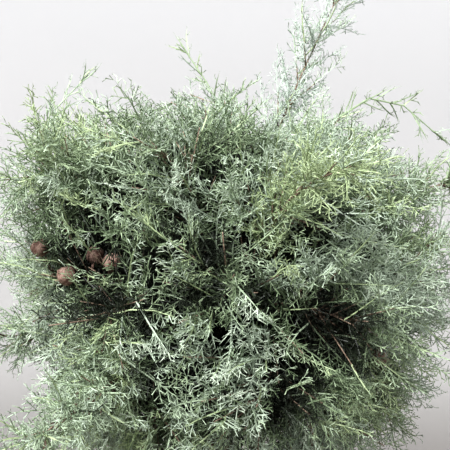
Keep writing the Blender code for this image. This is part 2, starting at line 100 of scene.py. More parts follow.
class Finish:
    def __init__(self, name, **sockets):
        self.material = bpy.data.materials.new(name)
        self.material.use_nodes = True
        self.tree = self.material.node_tree
        self.shader = self.tree.nodes["Principled BSDF"]
        for port, value in sockets.items():
            portOf(self.shader.inputs, port).default_value = value
        self.place = Wire(self.tree, self.tree.nodes.new("ShaderNodeTexCoord").outputs["Object"])

    def add(self, kind, output, settings, **ports):
        node = self.tree.nodes.new("ShaderNode" + kind)
        for key, value in settings.items():
            setattr(node, key, value)
        for port, value in ports.items():
            target = portOf(node.inputs, port)
            if isinstance(value, Wire):
                self.tree.links.new(value.socket, target)
            else:
                target.default_value = value
        return Wire(self.tree, node.outputs[output])

    def pattern(self, kind, output, scale, stretch, **ports):
        spot = self.add("Mapping", "Vector", {}, Vector=self.place, Scale=stretch)
        return self.add(kind, output, {}, Vector=spot, Scale=scale, **ports)

    def speckle(self, scale, detail, roughness, stretch=(1, 1, 1)):
        return self.pattern("TexNoise", "Fac", scale, stretch, Detail=detail, Roughness=roughness)

    def cells(self, scale, stretch=(1, 1, 1)):
        return self.pattern("TexVoronoi", "Distance", scale, stretch)

    def blend(self, share, first, second):
        return self.add("Mix", 2, {"data_type": "RGBA"}, p0=share, p6=first, p7=second)

    def ramp(self, value, low, high):  # 0 at low and 1 at high
        return ((value - low) / (high - low)).held()

    def fade(self, value, low, high, first, second):  # the first look at low, the second at high
        return self.blend(self.ramp(value, low, high), first, second)

    def feed(self, **ports):
        for port, wire in ports.items():
            self.tree.links.new(wire.socket, portOf(self.shader.inputs, port))
        return self

    def relief(self, height, depth, strength):
        bump = self.add("Bump", "Normal", {}, Height=height, Distance=depth, Strength=strength)
        return self.feed(Normal=bump)


def paint(red, green, blue):  # from a paint chart's 0 to 255
    return (*((c / 255) ** 2.2 for c in (red, green, blue)), 1.0)


# How the plant is laid out: the same plan and the same draws as its solids

seed = 4
gap = 0.0003
hub = Vector((0.0, 0.0, 0.50))
crown = {
    "halfWidth": 0.285, "halfDepth": 0.265, "rise": 0.255, "drop": 0.245, "squareness": 2.7,
    "lumps": 0.14, "lumpScale": 3.2,
    "lobes": [  # azimuth, elevation, the width of each in degrees, and how much further the crown reaches
        (180, 42, 40, 16, 0.09), (180, 66, 45, 8, -0.17), (175, 80, 22, 9, 0.12), (0, 75, 22, 11, -0.19),
        (0, 40, 40, 15, -0.09), (195, 2, 30, 6, -0.19), (200, -18, 45, 12, -0.25), (205, -45, 45, 14, -0.08),
        (-15, 3, 40, 6, -0.07), (-20, -34, 45, 16, -0.17),
        (238, 9, 14, 11, -0.24), (266, 12, 11, 10, -0.16), (293, -2, 11, 9, -0.24),
        (262, -22, 22, 12, 0.05), (240, -10, 9, 8, 0.06), (308, 12, 14, 12, 0.04),
    ],
}
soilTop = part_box("soil")[1][2]
trunk = {
    "top": Vector((0.016, 0.005, 0.598)), "radius": 0.0115, "topRadius": 0.0050, "flare": 0.010,
    "flareHeight": 0.018, "steps": 48, "sides": 30, "rings": 170, "ridge": 0.0011, "flake": 0.0007,
}
boughs = {
    "lowest": 0.20, "highest": 0.82, "radius": 0.0052, "tipRadius": 0.0042, "steps": 5, "lift": 0.60,
    "spring": 0.55, "sides": 14, "rings": 60, "ridge": 0.0005, "flake": 0.0003,
}
stems = {"radius": 0.0023, "tipRadius": 0.0009, "steps": 5, "sides": 6, "spring": 0.45}
twigs = {
    "radius": 0.0016, "tipRadius": 0.0010, "steps": 1, "sides": 5, "last": 0.94, "rootSpread": 1.1,
    "spreadFall": 0.35, "wobble": 7, "rootLength": 1.15, "lengthFall": 0.55, "lengths": (0.85, 1.12),
    "forward": 0.28,
}
spray = {
    "sunk": 0.0005, "first": 0.34, "run": 0.42, "end": 0.9, "spreads": (38, 50), "lengths": (0.85, 1.1),
    "check": 0.6, "last": 0.95, "past": 0.6,
}
spaceMargin = 0.006
limbMargin = 0.005
tries = 5
cutBack = 0.82
crownHabit = {
    "twigs": 3, "twigLength": 0.110, "firstTwig": 0.12, "spread": 60, "sprays": 3, "sprayLength": 0.092,
    "fringe": 1.05,
}
shootHabits = {
    "leader": {
        "twigs": 8, "twigLength": 0.052, "firstTwig": 0.26, "spread": 44, "sprays": 1, "sprayLength": 0.054,
        "rounds": 1,
        "wings": {"plumes": 11, "first": 0.16, "angle": 30, "length": 0.098, "shorter": 0.50, "turn": 26},
    },
    "slender": {
        "twigs": 7, "twigLength": 0.018, "firstTwig": 0.34, "spread": 50, "sprays": 0, "sprayLength": 0.030,
        "slim": 0.55, "greenFrom": 0.4, "rounds": 0,
        "wings": {"plumes": 10, "first": 0.24, "angle": 46, "length": 0.040, "shorter": 0.35, "turn": 40},
    },
    "side": {
        "twigs": 6, "twigLength": 0.042, "firstTwig": 0.32, "spread": 48, "sprays": 1, "sprayLength": 0.042,
    },
    "feathery": {
        "twigs": 9, "twigLength": 0.032, "firstTwig": 0.26, "spread": 42, "sprays": 1, "sprayLength": 0.044,
        "wings": {"plumes": 16, "first": 0.18, "angle": 34, "length": 0.038, "shorter": 0.25, "turn": 60},
        "rounds": 3,
    },
}
tiers = {
    "lower": {
        "boughs": 5, "azimuth": 11, "elevation": -22, "share": 0.44,
        "massElevation": -33, "fan": 18, "stagger": 9,
    },
    "middle": {
        "boughs": 5, "azimuth": 0, "elevation": 8, "share": 0.42,
        "massElevation": 6, "fan": 18, "stagger": 6,
    },
    "upper": {
        "boughs": 4, "azimuth": 0, "elevation": 44, "share": 0.44,
        "massElevation": 41, "fan": 22, "stagger": 5,
    },
}
top = {"masses": 2, "azimuth": 78, "massElevation": 62, "stagger": 4}
shoots = {
    "leader": {
        "limb": "trunk", "carries": 3, "heading": (10, 71), "spring": 0.39, "tip": (11, 69.5, 0.453),
        "habit": "leader", "tint": "silver",
    },
    "left_leader": {
        "limb": "trunk", "carries": 5, "heading": (0, 81), "spring": 0.46, "tip": (160, 80, 0.345),
        "habit": "slender", "tint": "moss",
    },
    "arching": {
        "limb": "upper_1", "heading": (0, 78), "spring": 1.19, "tip": (7, 37, 0.362),
        "habit": "slender", "tint": "moss",
    },
    "right": {
        "limb": "upper_1", "heading": (-14, 38), "spring": 0.37, "tip": (-14, 29, 0.334),
        "habit": "side", "tint": "moss",
    },
    "upper_left": {
        "limb": "upper_3", "heading": (180, 22), "spring": 1.05, "tip": (172, 59, 0.352),
        "habit": "slender", "tint": "sage",
    },
    "left": {
        "limb": "lower_3", "heading": (185, 8), "spring": 0.45, "tip": (184, -7, 0.305),
        "habit": "side", "tint": "sage",
    },
    "low_left": {
        "limb": "lower_4", "heading": (243, -8), "spring": 0.50, "tip": (238, -17, 0.372),
        "habit": "side", "tint": "sage",
    },
    "front": {
        "limb": "middle_5", "heading": (269, 55), "spring": 0.61, "tip": (293, 27, 0.369),
        "habit": "feathery", "tint": "fresh",
    },
}
cones = {
    "radius": 0.0115, "stalk": 0.024, "stalkRadii": (0.00112, 0.0014, 0.00224), "stalkSides": 8,
    "seat": 0.75, "stalkEnd": 0.2, "scales": 8, "groove": 0.16, "grooveWidth": 0.22, "boss": 0.17,
    "bossWidth": 0.24, "rough": 0.03, "roughScale": 6, "fullest": 1.06,
    "places": {
        "middle_7": [(0.75, 262, 8), (0.42, 300, 60), (0.60, 60, 70), (0.97, 180, 64)],
        "lower_1": [(0.85, 290, 25)],
        "upper_3": [(0.60, 80, 20)],
        "middle_3": [(0.55, 60, 10), (0.72, 100, -15)],
    },
    "glade": 0.017, "gladeDepth": 0.075, "gladeAzimuth": 258, "gladeElevation": 5,
    "gladeSteps": (0, 0.25, 0.5, 0.75, 1), "glimpses": (0.3, 0.6, 0.9),
}


def direction(azimuth, elevation):
    a = math.radians(azimuth)
    e = math.radians(elevation)
    return Vector((math.cos(a) * math.cos(e), math.sin(a) * math.cos(e), math.sin(e)))


def anglesOf(heading):  # azimuth and elevation
    rising = math.asin(max(-1, min(1, heading.z)))
    return math.degrees(math.atan2(heading.y, heading.x)), math.degrees(rising)


def swelling(facing, rising, azimuth, elevation, width, height):  # 1 at its middle, 0 far away
    aside = ((facing - azimuth + 180) % 360 - 180) * math.cos(math.radians(rising)) / width
    return math.exp(-(aside**2) - ((rising - elevation) / height) ** 2)


def crownReach(heading):
    height = crown["rise"] if heading.z > 0 else crown["drop"]
    halves = (crown["halfWidth"], crown["halfDepth"], height)
    total = sum(abs(h / half) ** crown["squareness"] for h, half in zip(heading, halves))
    reach = total ** (-1 / crown["squareness"])
    for *lobe, gain in crown["lobes"]:
        reach *= 1 + gain * swelling(*anglesOf(heading), *lobe)
    return reach * (1 + crown["lumps"] * noise.noise(heading * crown["lumpScale"]))


def crownShare(point):  # 0 at the hub and 1 on the crown's outline
    spoke = point - hub
    return spoke.length / crownReach(spoke.normalized())


def limbPath(start, heading, end, spring, steps):
    knee = start + heading.normalized() * ((end - start).length * spring)
    points = []
    for i in range(steps + 1):
        t = i / steps
        points.append(start * (1 - t) ** 2 + knee * (2 * t * (1 - t)) + end * t**2)
    return points


def along(path, share):
    place = share * (len(path) - 1)
    i = min(int(place), len(path) - 2)
    step = path[i + 1] - path[i]
    return path[i] + step * (place - i), step.normalized()


def across(heading, turn):
    return Quaternion(heading, turn) @ heading.orthogonal().normalized()


def splayed(heading, out, spread):  # the heading, turned outwards by so many degrees
    spread = math.radians(spread)
    return heading * math.cos(spread) + out * math.sin(spread)


def anyTurn(rng):
    return rng.uniform(0, 2 * math.pi)


def between(first, last, share):
    return first + (last - first) * share


def tapering(first, last, count):
    return [first + (last - first) * i / (count - 1) for i in range(count)]


def trunkPath():
    return limbPath(Vector((0, 0, soilTop + gap)), up, trunk["top"], 0.5, trunk["steps"])


def planBoughs():
    aims = {}
    for tier, plan in tiers.items():
        for i in range(plan["boughs"]):
            aim = direction(plan["azimuth"] + 360 * i / plan["boughs"], plan["elevation"])
            aims[f"{tier}_{i + 1}"] = (aim, plan["share"])
    paths = {}
    for i, (name, (aim, share)) in enumerate(aims.items()):
        height = boughs["lowest"] + (boughs["highest"] - boughs["lowest"]) * i / (len(aims) - 1)
        start, rising = along(trunkPath(), height)
        end = hub + aim * (crownReach(aim) * share)
        outward = Vector((aim.x, aim.y, 0)).normalized()
        heading = rising * boughs["lift"] + outward * (1 - boughs["lift"])
        paths[name] = limbPath(start, heading, end, boughs["spring"], boughs["steps"])
    return paths


def crownMass(limb, azimuth, elevation):
    aim = direction(azimuth, elevation)
    end = hub + aim * (crownReach(aim) - spray["past"] * crownHabit["sprayLength"])
    return {"limb": limb, "heading": None, "spring": stems["spring"], "end": end, "habit": crownHabit}


def planEnds():
    plans = {}
    for tier, plan in tiers.items():
        for i in range(2 * plan["boughs"]):
            side = 2 * (i % 2) - 1
            azimuth = plan["azimuth"] + 360 * (i // 2) / plan["boughs"] + side * plan["fan"]
            elevation = plan["massElevation"] - side * plan["stagger"]
            plans[f"{tier}_{i + 1}"] = crownMass(f"{tier}_{i // 2 + 1}", azimuth, elevation)
    for i in range(top["masses"]):
        azimuth = top["azimuth"] + 360 * i / top["masses"]
        elevation = top["massElevation"] + (i - 1) * top["stagger"]
        plans[f"top_{i + 1}"] = crownMass("trunk", azimuth, elevation)
    for name, plan in shoots.items():
        azimuth, elevation, reach = plan["tip"]
        habit = shootHabits[plan["habit"]]
        end = hub + direction(azimuth, elevation) * (reach - spray["past"] * habit["sprayLength"])
        heading = direction(*plan["heading"])
        plans["shoot_" + name] = {**plan, "heading": heading, "end": end, "habit": habit}
    return plans


def planMasses(limbs):
    plans = planEnds()
    for limb, path in limbs.items():
        tip, forward = along(path, 1)
        side = across(forward, 0)
        over = forward.cross(side)
        group = []
        for mass in plans.values():
            if mass["limb"] == limb:
                outward = mass["heading"] or mass["end"] - tip
                group.append((math.atan2(outward.dot(over), outward.dot(side)), mass))
        group.sort(key=lambda item: item[0])
        count = len(group)
        ring = (stems["radius"] + gap / 2) / math.sin(math.pi / count) if count > 1 else 0
        turn = sum(angle - 2 * math.pi * i / count for i, (angle, _) in enumerate(group)) / count
        for i, (_, mass) in enumerate(group):
            angle = turn + 2 * math.pi * i / count
            around = side * math.cos(angle) + over * math.sin(angle)
            start = tip + around * ring - forward * stems["radius"]
            heading = mass["heading"] or forward + (mass["end"] - tip).normalized()
            mass["path"] = limbPath(start, heading, mass["end"], mass["spring"], stems["steps"])
    return plans


def dense(path, count=24):
    return np.array([along(path, i / count)[0] for i in range(count + 1)])


class Room:  # each mass keeps nearer its own stem than any other, and clear of the bark
    def __init__(self, limbs, masses):
        self.names = list(masses)
        self.stems = np.array([dense(mass["path"]) for mass in masses.values()])
        self.limbs = np.array([dense(path) for path in limbs.values()])
        radii = [trunk["radius"] if name == "trunk" else boughs["radius"] for name in limbs]
        self.clearance = np.array(radii) + limbMargin

    def clearOfBark(self, points):
        for point in points:
            away = np.linalg.norm(self.limbs - np.array(point), axis=2).min(axis=1)
            if (away < self.clearance).any():
                return False
        return True

    def holds(self, name, points):
        own = self.names.index(name)
        for point in points:
            away = np.linalg.norm(self.stems - np.array(point), axis=2).min(axis=1)
            if np.delete(away, own).min() - away[own] < spaceMargin:
                return False
        return self.clearOfBark(points)


def eased(point):  # how much nearer the outline the finer twigs may come
    angles = anglesOf((point - hub).normalized())
    return sum(gain * swelling(*angles, *place) for *place, gain in easings)


def fitted(root, aim, length, habit):  # shortened until its tip is inside the crown
    if "fringe" in habit:
        for _ in range(tries):
            tip = root + aim * length
            if crownShare(tip) <= habit["fringe"] + (eased(tip) if "eased" in habit else 0):
                return length
            length *= cutBack
        return 0
    return length


def growTwigs(path, habit, count, rng, allowed):
    found = []
    turn = anyTurn(rng)
    for i in range(count):
        share = habit["firstTwig"] + (twigs["last"] - habit["firstTwig"]) * i / (count - 1)
        root, heading = along(path, share)
        for _ in range(tries):
            turn += goldenAngle
            spread = habit["spread"] * (twigs["rootSpread"] - twigs["spreadFall"] * share)
            spread += rng.uniform(-twigs["wobble"], twigs["wobble"])
            aim = splayed(heading, across(heading, turn), spread)
            length = habit["twigLength"] * (twigs["rootLength"] - twigs["lengthFall"] * share)
            length = fitted(root, aim, length * rng.uniform(*twigs["lengths"]), habit)
            end = root + (aim + heading * twigs["forward"]).normalized() * length
            twig = limbPath(root, aim, end, 0.5, twigs["steps"])
            if length and allowed(twig[1:]):
                found.append(twig)
                break
    return found


def growSprays(twig, habit, count, rng, allowed):
    found = []

    def taken(root, aim, length, turn):
        length = fitted(root, aim, length, habit)
        if length and allowed([root + aim * length, root + aim * (spray["check"] * length)]):
            found.append((root - aim * spray["sunk"], root + aim * length, across(aim, turn)))
            return True
        return False

    turn = anyTurn(rng)
    for i in range(count):
        root, heading = along(twig, spray["first"] + spray["run"] * i / max(1, count - 1))
        for _ in range(tries):
            turn += goldenAngle
            aim = splayed(heading, across(heading, turn), rng.uniform(*spray["spreads"]))
            if taken(root, aim, habit["sprayLength"] * rng.uniform(*spray["lengths"]), turn):
                break
    root, heading = along(twig, spray["end"])
    taken(root, heading, habit["sprayLength"], turn)
    return found


# Tubes, drawn out ring by ring


def ringPlaces(path):  # a frame for every ring, carried along without twisting
    headings = [(b - a).normalized() for a, b in zip(path, path[1:])]
    middles = [(a + b).normalized() for a, b in zip(headings, headings[1:])]
    headings = [headings[0], *middles, headings[-1]]
    facing = headings[0].to_track_quat("Z", "Y")
    places = []
    for i, (point, heading) in enumerate(zip(path, headings)):
        if i:
            facing = headings[i - 1].rotation_difference(heading) @ facing
        places.append(Matrix.Translation(point) @ facing.to_matrix().to_4x4())
    return places


def drawTube(bm, path, radii, sides, pointed=False):
    places = ringPlaces(path)
    ring = bmesh.ops.create_circle(bm, segments=sides, radius=radii[0], matrix=places[0])["verts"]
    edges = list(dict.fromkeys(edge for vert in ring for edge in vert.link_edges))
    bmesh.ops.contextual_create(bm, geom=edges)
    for i in range(1, len(path)):
        drawn = bmesh.ops.extrude_edge_only(bm, edges=edges)["geom"]
        ring = [item for item in drawn if isinstance(item, bmesh.types.BMVert)]
        edges = [item for item in drawn if isinstance(item, bmesh.types.BMEdge)]
        move = places[i] @ Matrix.Scale(radii[i] / radii[i - 1], 4) @ places[i - 1].inverted()
        bmesh.ops.transform(bm, matrix=move, verts=ring)
    if pointed:
        bmesh.ops.pointmerge(bm, verts=ring, merge_co=path[-1])
    else:
        bmesh.ops.contextual_create(bm, geom=edges)
    return bm


def toArrays(bm):  # points and triangles of a bmesh, which is then let go
    bmesh.ops.recalc_face_normals(bm, faces=bm.faces)
    bmesh.ops.triangulate(bm, faces=bm.faces)
    bm.verts.index_update()
    points = np.array([vert.co for vert in bm.verts])
    faces = np.array([[vert.index for vert in face.verts] for face in bm.faces], dtype=np.int64)
    bm.free()
    return points, faces


def tubeArrays(path, radii, sides, pointed=False):
    return toArrays(drawTube(bmesh.new(), path, radii, sides, pointed))


def joined(parts):
    points = []
    faces = []
    total = 0
    for p, f in parts:
        points.append(p)
        faces.append(f + total)
        total += len(p)
    return np.concatenate(points), np.concatenate(faces)


def linked(name, data):
    item = bpy.data.objects.new(name, data)
    scene.collection.objects.link(item)
    return item


def finished(name, mesh, finish, smooth=True):
    mesh.materials.append(finish.material)
    mesh.polygons.foreach_set("use_smooth", [smooth] * len(mesh.polygons))
    return linked(name, mesh)


def addPiece(piece, slot, *nodes):
    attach(piece, "root")
    if nodes:
        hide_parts(*nodes)


def addJoined(name, parts, finish, slot, *nodes, smooth=True):
    points, faces = joined(parts)
    mesh = bpy.data.meshes.new(name)
    mesh.vertices.add(len(points))
    mesh.vertices.foreach_set("co", points.astype(np.float32).ravel())
    mesh.loops.add(faces.size)
    mesh.loops.foreach_set("vertex_index", faces.astype(np.int32).ravel())
    mesh.polygons.add(len(faces))
    mesh.polygons.foreach_set("loop_start", np.arange(0, faces.size, 3, dtype=np.int32))
    mesh.update(calc_edges=True)
    print(name, len(faces), "triangles")
    addPiece(finished(name, mesh, finish, smooth), slot, *nodes)


def meshOf(name, bm):
    mesh = bpy.data.meshes.new(name)
    bm.to_mesh(mesh)
    bm.free()
    return mesh


def addModelled(name, bm, finish, slot, *nodes):
    bmesh.ops.recalc_face_normals(bm, faces=bm.faces)
    addPiece(finished(name, meshOf(name, bm), finish), slot, *nodes)


# Bark of the trunk and boughs: stringy ridges that peel in flakes

barkFinish = Finish("bark", Roughness=0.86)
fibre = barkFinish.speckle(90, 5, 0.6, (1, 1, 0.12))
patch = barkFinish.speckle(26, 3, 0.5, (1, 1, 0.45))
lichen = barkFinish.ramp(barkFinish.speckle(150, 4, 0.6), 0.60, 0.72)
barkColour = barkFinish.fade(patch, 0.40, 0.62, paint(92, 62, 50), paint(132, 108, 96))
barkColour = barkFinish.fade(fibre, 0.58, 0.38, barkColour, paint(48, 31, 26))
barkColour = barkFinish.blend(lichen * 0.45, barkColour, paint(150, 146, 132))
barkFinish.feed(Base_Color=barkColour)
barkFinish.relief(fibre + 0.5 * barkFinish.speckle(420, 3, 0.6, (1, 1, 0.4)), 0.0016, 0.7)
bark = {
    "twist": 6.0, "ridgeScale": 3.1, "ridgeRun": 14, "flakeScale": 6.0, "flakeRun": 70, "crispness": 4,
    "smoothEnds": 12, "shift": 3.7,
}


def barkTube(path, radiusAt, look, offset):
    rings = look["rings"]
    points = [along(path, i / rings)[0] for i in range(rings + 1)]
    radii = [radiusAt(i / rings) for i in range(rings + 1)]
    bm = drawTube(bmesh.new(), points, radii, look["sides"])
    length = sum((b - a).length for a, b in zip(points, points[1:]))
    for i, vert in enumerate(bm.verts):
        ring = min(i // look["sides"], rings)
        out = vert.co - points[ring]
        if out.length < 1e-6:
            continue
        out.normalize()
        run = length * ring / rings
        spot = Quaternion(up, run * bark["twist"]) @ out
        x, y, z = spot * bark["ridgeScale"]
        ridge = noise.noise(Vector((x, y, z + run * bark["ridgeRun"] + offset)))
        x, y, z = spot * bark["flakeScale"]
        flake = noise.noise(Vector((x, y, run * bark["flakeRun"] + offset)))
        flake = math.copysign(min(1.0, abs(flake) * bark["crispness"]) ** 0.5, flake)
        ending = min(1.0, bark["smoothEnds"] * min(ring, rings - ring) / rings)
        vert.co += out * (look["ridge"] * ridge + look["flake"] * flake) * ending
    return bm


def trunkRadius(share):
    length = trunk["top"].z - soilTop
    straight = between(trunk["radius"], trunk["topRadius"], share)
    return straight + trunk["flare"] * math.exp(-share * length / trunk["flareHeight"])


def boughRadius(share):
    return between(boughs["radius"], boughs["tipRadius"], share)


limbs = {"trunk": trunkPath(), **planBoughs()}
masses = planMasses(limbs)
room = Room(limbs, masses)
for number, (name, path) in enumerate(limbs.items()):
    if name == "trunk":
        tube = barkTube(path, trunkRadius, trunk, 0.0)
        addModelled("trunk_bark", tube, barkFinish, "bark", "trunk")
    else:
        tube = barkTube(path, boughRadius, boughs, bark["shift"] * number)
        addModelled("bough_bark_" + name, tube, barkFinish, "bark", "bough_" + name)
print("trunk and boughs")


# Foliage: masses of twigs, twigs of plumes, plumes of sprigs, sprigs of twiglets

plume = {
    "firstSprig": 0.05, "lastSprig": 0.985, "spacing": 0.0058, "fewest": 4, "widest": 0.34,
    "sprig": 0.0300, "tipSprig": 0.0095, "rootShare": 0.55, "growth": 0.45, "rootAngle": 58,
    "tipAngle": 34, "wobble": 9, "flatness": 0.72, "lengths": (0.78, 1.12), "scaling": 0.4,
    "radius": 0.00100, "tipRadius": 0.00070, "bend": 0.22, "droop": 0.5, "sides": 3, "steps": 3,
    "unruly": 0.25, "outOfPlane": 4, "facing": 40, "highlightChance": 0.5, "highlightRoot": 0.3, "freshStalks": 0.4,
    "heart": 0.55, "outer": 0.7, "edgeOfGlade": 0.06,
}
sprig = {
    "lengths": [0.010, 0.016, 0.023, 0.031], "variants": 6, "spacing": 0.0032, "filled": 0.8,
    "first": 0.14, "run": 0.70, "radius": 0.00070, "bend": 0.05, "jointed": 0.018, "angle": 47,
    "wobble": 9, "unruly": 0.3, "outOfPlane": 4, "twigletRadius": 0.00062, "tipWidth": 0.85,
    "twiglet": 0.0104, "rootLength": 1.15, "lengthFall": 0.55, "twigletLengths": (0.75, 1.15),
    "longest": 0.62,
}
grades = {  # how thick the twiglets are, and how far apart they and the sprigs are
    "fine": {"thickness": 1.0, "spacing": 1.0, "sprigSpacing": 1.0, "from": 0.85},
    "middling": {"thickness": 1.4, "spacing": 1.4, "sprigSpacing": 1.2, "from": 0.50},
    "coarse": {"thickness": 2.5, "spacing": 2.4, "sprigSpacing": 1.7, "from": -1.0},
}
finer = {
    "rounds": 8, "stemTwigs": 8, "boughTwigs": 6, "trunkTwigs": 9, "shootTwigs": 4, "sprays": 4,
    "stemSprays": 6, "innerSpacing": 0.026, "outerSpacing": 0.0205, "shootSpacing": 0.014, "inner": 0.30,
    "outer": 0.85, "firstTwig": 0.04, "limbTwig": 0.30, "twigLength": 0.060, "fringe": 0.97,
    "stemRadius": 0.8, "twigRadius": 0.62, "clothing": 0.0085, "twigsClothedFrom": 0.15,
    "stemsClothedFrom": 0.45, "clothingSpreads": (35, 60), "clothingLengths": (0.011, 0.024),
    "mostPlumes": 6000,
}
wing = {"last": 0.96, "spreads": (0.85, 1.2), "lengths": (0.85, 1.1)}
# Painted shade and light on the foliage: spots where its tints are painted darker as shade and lighter as
# light, and where it has gaps
shading = {
    "shadeMottle": 0.26, "shadeMottleScale": 11, "deepShadeBelow": 0.60, "dullShadeBelow": 0.82, "hueScale": 8, "chance": 0.30,
    "ownShare": 0.85, "hollowPaintedShade": 0.8, "moundPaintedLight": 0.50, "shadyShade": 0.32, "moundPaintedLightHue": 0.22,
    "openAbove": 0.45, "closedAbove": 0.3, "gapScale": 15, "gapBelow": -0.24, "gapsFrom": 0.9,
    "hollows": [  # gaps in the crown, with their foliage painted darker as shade: azimuth, elevation, and the width and height of each in degrees
        (266, 20, 7, 6), (237, 15, 5, 6), (233, 5, 10, 5), (247, 2, 6, 6), (282, 8, 5, 4),
        (298, -1, 9, 7), (288, -22, 6, 10), (250, -14, 4, 8), (300, 27, 6, 7), (267, -27, 6, 5),
        (262, 8, 8, 4), (254, 27, 4, 5), (302, -7, 5, 5),
    ],
    "shady": [  # painted shade: darker, but no gaps
        (181, 70, 30, 14), (254, 54, 16, 6), (235, 46, 12, 5), (11, 47, 14, 6), (225, 0, 14, 7),
        (247, 22, 6, 5), (270, 1, 5, 4), (300, -16, 8, 5), (215, 18, 9, 8), (275, -27, 6, 4),
        (305, -11, 5, 4), (274, 47, 10, 6),
    ],
    # painted light: lit clumps whose sprigs take lighter tints and keep no gaps; azimuth, elevation, width
    # and height
    "paintedLitMounds": [
        (248, 15, 3, 5), (241, 36, 11, 6), (290, 32, 9, 7), (278, 22, 5, 8), (304, 18, 12, 7),
        (287, 14, 7, 4), (245, -7, 9, 3), (262, -7, 11, 5), (256, -23, 5, 12), (276, -18, 5, 9),
        (229, 14, 4, 5), (255, 20, 4, 6), (275, -3, 5, 7), (318, 21, 8, 8), (335, 5, 14, 9),
        (262, -12, 6, 4), (312, 8, 8, 5), (256, -12, 4, 6), (252, 35, 7, 6),
    ],
}
easings = [  # azimuth, elevation, width and height, and how much nearer the outline twigs may come
    (181, 78, 26, 12, 0.13), (205, 18, 16, 12, 0.07), (345, 0, 16, 8, 0.06), (321, -6, 12, 7, 0.10),
    (207, -18, 16, 11, -0.18), (8, 44, 18, 8, 0.12), (335, 20, 16, 5, -0.10), (10, 72, 60, 8, -0.14),
]
# Tints of the foliage. The dull tint is partly painted shade and partly the duller old foliage inside. The
# deep tint is near-black painted shade for the crown's heart.
tints = {
    "silver": {"colour": (172, 184, 173), "tip": "silver"},
    # the pale tint only serves as a painted highlight; each tint's tip is the lighter tint that the outer
    # plumes' sprigs take
    "pale_highlight": {"colour": (178, 190, 172), "tip": "pale_highlight"},
    "glaucous": {"colour": (157, 171, 153), "below": -0.10, "tip": "pale_highlight"},
    "sage": {"colour": (150, 166, 141), "below": 0.22, "tip": "glaucous"},
    "moss": {"colour": (138, 154, 124), "below": 0.60, "tip": "sage"},
    "fresh": {"colour": (150, 165, 127), "below": 9.0, "tip": "fresh"},
    "dull_and_shaded": {"colour": (100, 115, 89), "tip": "moss"},
    "deep_shade": {"colour": (31, 38, 27), "tip": "deep_shade"},
}


def alternating(i, look, rng):  # left and right in turn, and now and then out of the plane
    turn = math.pi * i + rng.gauss(0, look["unruly"])
    return turn + (math.pi / 2 if i % look["outOfPlane"] == look["outOfPlane"] - 1 else 0)


def twiglet(bm, root, aim, length, radius, turn):  # two crossed edges and the four faces between them
    side = across(aim, turn)
    over = aim.cross(side) * (sprig["tipWidth"] * radius)
    tip = root + aim * length
    ends = (root + side * radius, root - side * radius, tip + over, tip - over)
    bmesh.ops.convex_hull(bm, input=[bm.verts.new(end) for end in ends])


def sprigModel(length, spacing, thickness, rng):  # along +Z, and flat like a feather in the XZ plane
    bm = bmesh.new()
    lean = across(up, anyTurn(rng)) * (length * sprig["bend"])
    pieces = 2 if length > sprig["jointed"] else 1
    path = [up * (length * i / pieces) + lean * (i / pieces) ** 2 for i in range(pieces + 1)]
    for start, end in zip(path, path[1:]):
        run = end - start
        twiglet(bm, start, run.normalized(), run.length, thickness * sprig["radius"], rng.uniform(0, 3))
    count = max(2, round(sprig["filled"] * length / spacing))
    for i in range(count):
        share = sprig["first"] + sprig["run"] * i / (count - 1)
        root, heading = along(path, share)
        out = Quaternion(heading, alternating(i, sprig, rng)) @ Vector((1, 0, 0))
        out = (out - heading * out.dot(heading)).normalized()
        aim = splayed(heading, out, sprig["angle"] + rng.uniform(-sprig["wobble"], sprig["wobble"]))
        reach = sprig["twiglet"] * (sprig["rootLength"] - sprig["lengthFall"] * share)
        reach = min(reach * rng.uniform(*sprig["twigletLengths"]), sprig["longest"] * length)
        twiglet(bm, root, aim, reach, thickness * sprig["twigletRadius"], rng.uniform(0, math.pi))
    return toArrays(bm)


def cutSprigs():  # a few of every length, which are set all over the plant
    rng = random.Random(f"sprigs {seed}")
    models = {}
    for kind, length in enumerate(sprig["lengths"]):
        for variant in range(sprig["variants"]):
            for name, grade in grades.items():
                spacing = grade["spacing"] * sprig["spacing"]
                models[name, kind, variant] = sprigModel(length, spacing, grade["thickness"], rng)
    return models


class Foliage:  # gathers what one tint of one region is made of
    def __init__(self):
        self.tubes = []
        self.places = {}

    def setSprig(self, grade, root, aim, reach, flat, rng):  # flat is square to the sprig's own plane
        kind = min(range(len(sprig["lengths"])), key=lambda k: abs(reach - sprig["lengths"][k]))
        scale = reach / sprig["lengths"][kind]
        side = Quaternion(aim, rng.gauss(0, sprig["unruly"])) @ flat.cross(aim).normalized()
        model = (grade, kind, rng.randrange(sprig["variants"]))
        self.places.setdefault(model, []).append((*root, *side, *aim, scale))

    def parts(self, models):
        parts = list(self.tubes)
        for model, rows in sorted(self.places.items()):
            points, faces = models[model]
            rows = np.array(rows)
            root, side, aim, scale = rows[:, 0:3], rows[:, 3:6], rows[:, 6:9], rows[:, 9]
            turned = np.stack([side, np.cross(aim, side), aim], axis=2)  # columns are the sprig's own axes
            placed = np.einsum("kij,nj->kni", turned, points) * scale[:, None, None] + root[:, None, :]
            shifts = np.arange(len(rows))[:, None, None] * len(points)
            parts.append((placed.reshape(-1, 3), (faces[None] + shifts).reshape(-1, 3)))
        return parts


regions = {
    "lower": "lower", "middle": "middle", "upper": "upper", "top": "upper", "trunk": "upper",
    "shoot": "shoots",
}
woody = {region: [] for region in regions.values()}
leafy = {(region, tint): Foliage() for region in regions.values() for tint in tints}
replacedNodes = {region: [] for region in regions.values()}


def regionOf(name):
    return regions[name.split("_")[0]]


def sprigReach(share):  # how long the sprigs are along a plume
    if share < plume["widest"]:
        return plume["sprig"] * (plume["rootShare"] + plume["growth"] * (share / plume["widest"]))
    return between(plume["sprig"], plume["tipSprig"], (share - plume["widest"]) / (1 - plume["widest"]))


def radiiOf(look, path, share=1):
    return [share * radius for radius in tapering(look["radius"], look["tipRadius"], len(path))]


